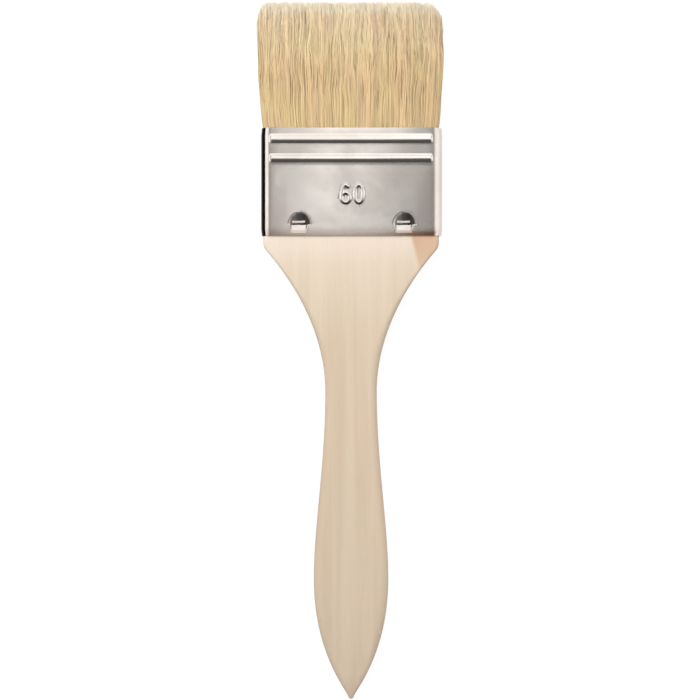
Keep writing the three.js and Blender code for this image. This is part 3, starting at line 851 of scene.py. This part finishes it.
def strand_field(rng, count, third, side_z):
    """Centre lines of the strands of a sixth of the tuft, as strands by rows by xyz.

    A strand keeps its share of the tuft's half width and half thickness as the tuft swells. Halfway
    up it is drawn towards the middle of its lock, and each lock sways on its own; towards the tips
    the locks open out again. On top of that neighbours ripple together from side to side. Some
    strands lean across their neighbours, and a few stand out at the sides. Also returned is how much
    lighter each strand's lock is than the rest.
    """
    share_x, share_z = strand_shares(rng, count, third)
    y = strand_rows(rng, share_x, share_z)
    height = y - FERRULE_HEIGHT
    free = np.clip(height / BRISTLE_LENGTH, 0, 1)
    half_x = tuft_half_width(height) - LINE_INSET[0] - HELD_INSET * smooth(height, 1.5, 0)
    half_x = half_x - (share_x > 0)[:, None] * (
        RIGHT_SIDE_IN[0] * smooth(height, 0, 12) + RIGHT_SIDE_IN[1] * smooth(height, 24, 38))
    x = share_x[:, None] * half_x
    past = np.clip((np.abs(x) - half_x) / ROOT_CORNER + 1, 0, 1)
    corner = ROOT_CORNER * (1 - np.sqrt(1 - 0.96 * past ** 2))
    half_z = tuft_half_thick(height) - LINE_INSET[1] - corner
    inner = ROOT_INNER * smooth(height, -0.3, -2.3)
    z = side_z * (inner + share_z[:, None] * (half_z - inner))
    home_x, home_z = x[:, HOME_ROW], z[:, HOME_ROW]
    middle, mine = locks(rng, home_x, home_z)
    drawn = LOCK_DRAW * smooth(height, 0, 22) * smooth(height, BRISTLE_LENGTH, 28)
    sway = rng.uniform(0, 2 * np.pi, (len(middle), 2))[mine]
    length_x, length_z = rng.uniform(15, 34, (len(middle), 2))[mine].T[..., None]
    sway_x = np.sin(height * 2 * np.pi / length_x + sway[:, :1])
    sway_z = np.sin(height * 2 * np.pi / length_z + sway[:, 1:])
    wave_length, phase = rng.uniform(14, 30, (count, 1)), rng.uniform(0, 6.3, (count, 1))
    wave = np.sin(height * 2 * np.pi / wave_length + phase)
    lean = rng.normal(0, LEAN, (count, 1))
    crossing = rng.random((count, 1)) < CROSSING_STRANDS
    lean = lean + crossing * rng.normal(0, CROSSING_LEAN, (count, 1))
    ripple = soft_waves(home_x[:, None] * 1.7 + home_z[:, None], y, 31, 9.5)
    x = (x + (middle[mine, :1] - home_x[:, None]) * drawn + LOCK_SWAY[0] * sway_x * free ** 0.7
         + RIPPLE * ripple * smooth(height, 0, 12) + STRAND_WAVE[0] * wave * free ** 0.7
         + lean * free ** 1.2)
    z = (z + (middle[mine, 1:] - home_z[:, None]) * drawn * 0.8 + LOCK_SWAY[1] * sway_z * free
         + STRAND_WAVE[1] * wave * free + rng.normal(0, 0.09, (count, 1)) * free)
    stand_off = np.minimum(rng.exponential(STAND_OFF, (count, 1)), STAND_OFF_MOST)
    limit_x = half_x + (0.1 + stand_off) * free
    limit_z = half_z + 0.2 * free
    line = np.stack([np.clip(x, -limit_x, limit_x), y, np.clip(z, -limit_z, limit_z)], -1)
    return line, rng.normal(0, 0.03, len(middle))[mine]


def bristle_sixth(name, seed, third, side_z, material):
    """Strands as three-sided tubes that taper to a fine tip, each closed at both ends.

    A strand's tone adds its own to its lock's and is darker at the narrow sides, as painted shade;
    tone and warmth also drift gently over the tuft. along is 0 at the mouth and 1 at the tips.
    """
    rng = np.random.default_rng(seed)
    line, lock_tone = strand_field(rng, STRANDS_PER_PIECE, third, side_z)
    count, rows, _ = line.shape
    radius = rng.uniform(*STRAND_RADIUS, (count, 1))
    taper = np.interp(np.arange(rows), [0, rows - 4, rows - 2, rows - 1], [1, 0.92, 0.75, 0.35])
    turn = rng.uniform(0, 2 * np.pi, (count, 1, 1)) + np.arange(3) * 2 * np.pi / 3
    reach = (radius * taper)[..., None]
    ring = np.stack([np.cos(turn) * reach, 0 * turn * reach, -np.sin(turn) * reach], -1)
    points = (line[:, :, None] + ring).reshape(-1, 3)
    strand = np.arange(count)[:, None, None] * rows * 3
    row = np.arange(rows - 1)[None, :, None] * 3
    side = np.arange(3)
    a = (strand + row + side).reshape(-1)
    b = (strand + row + (side + 1) % 3).reshape(-1)
    quads = np.stack([a, b, b + 3, a + 3], 1)
    foot = np.arange(count)[:, None] * rows * 3 + np.array([0, 2, 1])
    head = np.arange(count)[:, None] * rows * 3 + (rows - 1) * 3 + np.array([0, 1, 2])
    uv = strand_uv(count, rows)
    tone = np.clip(rng.normal(1.0, 0.03, (count, 1)) + lock_tone[:, None], 0.86, 1.08)
    tone[rng.random(count) < 0.015] *= 0.88
    home_x = line[:, HOME_ROW, None, 0]
    # painted shade: strands at the narrow sides, which catch more light, are darkened
    tone *= 1 - 0.06 * smooth(np.abs(home_x), HALF_BLANK - 2.5, HALF_BLANK - 0.5)
    tone = tone * (1 + 0.03 * soft_waves(line[..., 0], line[..., 1] * 0.35, 12, 7))
    warmth = rng.normal(0.5, 0.22, (count, 1))
    warmth = warmth + 0.26 * soft_waves(line[..., 0], line[..., 1] * 0.6, 7, 10)
    warmth = np.clip(warmth, 0, 1)
    along = np.clip((line[..., 1] - FERRULE_HEIGHT) / BRISTLE_LENGTH, 0, 1)
    spread = np.ones((count, rows, 3))
    piece = new_piece(name, points, [quads, foot, head], material, attributes=[
        ("tone", tone[..., None] * spread),
        ("warmth", warmth[..., None] * spread),
        ("along", along[..., None] * spread)], corner_uv=uv)
    bank = "front" if side_z > 0 else "back"
    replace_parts(piece, f"roots_{bank}_bank", f"tuft_{bank}_bank")
    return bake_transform(piece)


def strand_uv(count, rows):
    """One upright cell of the map per strand: its three sides side by side, root to tip upwards."""
    across = 128
    down = int(np.ceil(count / across))
    cell = np.stack([np.arange(count) % across, np.arange(count) // across], 1)
    size = np.array([1 / across, 1 / down])
    margin = 0.1
    low = (cell + margin) * size
    span = size * (1 - 2 * margin)
    side, row = np.meshgrid(np.arange(3), np.arange(rows - 1), indexing="xy")
    left, right = side / 3, (side + 1) / 3
    below, above = row / (rows - 1), (row + 1) / (rows - 1)
    corners = [(left, below), (right, below), (right, above), (left, above)]
    share = np.stack([np.stack(corner, -1) for corner in corners], 2)
    quads = low[:, None, None, None] + share * span
    foot = low[:, None] + np.array([[0, 0], [0.5, 0.02], [1, 0]]) * span
    head = low[:, None] + np.array([[0, 1], [0.5, 0.98], [1, 1]]) * span
    return np.concatenate([quads.reshape(-1, 2), foot.reshape(-1, 2), head.reshape(-1, 2)])


# -------- stage


def studio_world():
    """White to the camera, an even fill to matt surfaces, and panels and flags to glossy ones.

    The metal mirrors tone. Its flat faces mirror what is nearly straight up: overhead is the pale
    panel of their middle, low_right the dark area below and beside it, corners the slightly paler
    rest. wings are the bright panels at both sides, for the rounded edges; outermost dims their far
    ends. key is the bright panel past the bristles, dimmer low_aside, where low views meet it.
    behind is the pale wall past the handle, and flag the dark strip before it that draws the lines
    below the beads and the number.
    """
    world = bpy.data.worlds.new("studio")
    bpy.context.scene.world = world
    paint = Paint(world)
    background = paint.tree.nodes["Background"]
    direction = paint.node("SeparateXYZ", Vector=paint.node("TexCoord").outputs["Generated"])
    x, y, z = [Value(paint, part) for part in direction.outputs]
    is_camera, is_glossy = paint.rays()
    aside = paint.math("ABSOLUTE", x)
    to_left, to_handle = 0.0 - x, 0.0 - y
    outermost = paint.smooth(aside, 0.9, 1.0) * 0.2 + paint.smooth(to_left, 0.85, 1.0) * 0.3
    wings = paint.smooth(aside - x * 0.15, 0.36, 0.64) * (1.0 - outermost)
    corners = paint.smooth(aside, 0.07, 0.14)
    overhead = paint.smooth(x, -0.043, -0.02) * (1.0 - paint.smooth(x, 0.006, 0.025))
    low_right = paint.smooth(x, -0.012, 0.022) * (1.0 - paint.smooth(y, 0.075, 0.1))
    low_right = low_right * (1.0 - paint.smooth(x, 0.03, 0.06) * 0.65)
    key = paint.smooth(y, 0.2, 0.32)
    low_aside = paint.smooth(aside, 0.28, 0.5) * (1.0 - paint.smooth(z, 0.66, 0.8))
    key_tone = (1.38 - paint.smooth(y, 0.6, 0.95) * 0.63) * (1.0 - low_aside * 0.42)
    behind = paint.smooth(to_handle, 0.3, 0.6)
    flag = paint.smooth(to_handle, 0.2, 0.34) * (1.0 - paint.smooth(to_handle, 0.9, 0.96))
    flag = flag * (1.0 - paint.smooth(aside, 0.16, 0.3))
    flag = flag * (0.6 + paint.smooth(aside, 0.02, 0.055) * 0.15)
    tone = 0.32 + behind * 0.4 + overhead * (1.42 - behind * 0.6) + wings * (0.82 - behind * 0.7)
    tone = tone + corners * 0.09 - low_right * 0.31
    tone = (tone * (1.0 - key) + key * key_tone) * (1.0 - flag)
    fill = 0.64
    strength = is_camera + (1.0 - is_camera) * (is_glossy * tone + (1.0 - is_glossy) * fill)
    paint.feed(background.inputs["Strength"], strength)
    background.inputs["Color"].default_value = (1, 1, 1, 1)


def floor():
    """A pale floor that the camera sees as white, with the object's soft shadow on it.

    Past the ferrule's mouth it falls away in an S curve, so the bristles have room to bend down. It
    glows to the camera and in reflections, mixed with a matt surface that takes the shadow.
    """
    reach, fall = 3.0, 20 * MM
    mouth = ORIGIN[1] + FERRULE_HEIGHT * MM
    slope = np.linspace(mouth - 3 * MM, mouth + 34 * MM, 40)
    x, y = np.meshgrid([-reach, reach], np.concatenate([[-reach], slope, [reach]]))
    points = np.stack([x, y, -fall * smooth(y, slope[0], slope[-1])], -1).reshape(-1, 3)
    first = np.arange(len(points) // 2 - 1) * 2
    mesh = bpy.data.meshes.new("floor")
    quads = np.stack([first, first + 1, first + 3, first + 2], 1)
    mesh.from_pydata(points.tolist(), [], quads.tolist())
    mesh.polygons.foreach_set("use_smooth", np.ones(len(first), bool))
    paint = Paint(bpy.data.materials.new("pale_floor"))
    paint.tree.nodes.remove(paint.tree.nodes["Principled BSDF"])
    output = paint.tree.nodes["Material Output"]
    is_camera, is_glossy = paint.rays()
    glow = paint.node("Emission", Strength=1.08 - is_glossy * 0.16)
    matt = paint.node("BsdfDiffuse", Color=(0.8, 0.8, 0.8, 1))
    share = is_camera * 0.86 + is_glossy
    mixed = paint.node("MixShader", _0=share, _1=matt.outputs[0], _2=glow.outputs[0])
    paint.feed(output.inputs["Surface"], mixed.outputs[0])
    mesh.materials.append(paint.owner)
    piece = bpy.data.objects.new("floor", mesh)
    bpy.context.scene.collection.objects.link(piece)


def dark_card():
    """A narrow card beside the ferrule's left edge, black above and pale below.

    Only the metal's reflections show it: it draws the thin dark line down that edge.
    """
    x = ORIGIN[0] - (HALF_WIDTH + 3.2) * MM
    low_y, high_y = ORIGIN[1] - 2 * MM, ORIGIN[1] + (FERRULE_HEIGHT + 2) * MM
    low_z, high_z = ORIGIN[2] - 4 * MM, ORIGIN[2] + 5.7 * MM
    corners = [(x, low_y, low_z), (x, high_y, low_z), (x, high_y, high_z), (x, low_y, high_z)]
    mesh = bpy.data.meshes.new("dark_card")
    mesh.from_pydata(corners, [], [(0, 1, 2, 3)])
    paint = Paint(bpy.data.materials.new("dark_card"))
    paint.tree.nodes.remove(paint.tree.nodes["Principled BSDF"])
    _, (_, _, z) = paint.place()
    faint = 1.0 - paint.smooth(z, ORIGIN[2] - 2.5 * MM, ORIGIN[2] + 2.9 * MM)
    pale = 1.0 - paint.smooth(z, ORIGIN[2] - 4.0 * MM, ORIGIN[2] - 0.5 * MM)
    glow = paint.node("Emission", Strength=faint * 0.15 + pale * 0.6)
    paint.feed(paint.tree.nodes["Material Output"].inputs["Surface"], glow.outputs[0])
    mesh.materials.append(paint.owner)
    piece = bpy.data.objects.new("dark_card", mesh)
    for kind in ("camera", "diffuse", "transmission", "shadow", "volume_scatter"):
        setattr(piece, "visible_" + kind, False)
    bpy.context.scene.collection.objects.link(piece)


def lamp(name, place, target, size, watts):
    """A soft square lamp that lights matt surfaces; the world shows the glossy ones their panels."""
    data = bpy.data.lights.new(name, "AREA")
    data.shape = "SQUARE"
    data.size = size
    data.energy = watts
    light = bpy.data.objects.new(name, data)
    light.location = place
    aim = np.array(target) - np.array(place)
    light.rotation_euler = Vector(aim.tolist()).to_track_quat("-Z", "Y").to_euler()
    light.visible_glossy = False
    light.visible_camera = False
    bpy.context.scene.collection.objects.link(light)


def camera():
    """Straight above the brush, far enough that the frame is as wide as in the photo.

    The width and the middle of the frame are those at the ferrule's front face.
    """
    frame_width = 233.3 * MM
    frame_middle = ORIGIN + np.array([-0.35, -38.15, HALF_THICK]) * MM
    data = bpy.data.cameras.new("camera")
    data.lens = 85
    data.sensor_width = 36
    data.clip_start = 0.01
    view = bpy.data.objects.new("camera", data)
    distance = frame_width * data.lens / data.sensor_width
    view.location = tuple(frame_middle + np.array([0, 0, distance]))
    bpy.context.scene.collection.objects.link(view)
    bpy.context.scene.camera = view


# -------- assembly

bpy.context.scene.view_settings.view_transform = "Standard"
camera()
studio_world()
floor()
dark_card()
lamp("key", place=(-0.09, 0.31, 0.38), target=(0, 0.03, 0), size=0.34, watts=1.74)

handle(birch())
ferrule(tinplate())
bristle = hog_bristle()
for across, third, front_seed, back_seed in (
        ("left", -1, 40, 50), ("middle", 0, 43, 51), ("right", 1, 46, 52)):
    bristle_sixth(f"bristles_front_{across}", front_seed, third, 1, bristle)
    bristle_sixth(f"bristles_back_{across}", back_seed, third, -1, bristle)
for node, material in (("glue_plug", set_resin()), ("spacer_strip", spacer_board())):
    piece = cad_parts[node]
    piece.data.materials.clear()
    piece.data.materials.append(material)
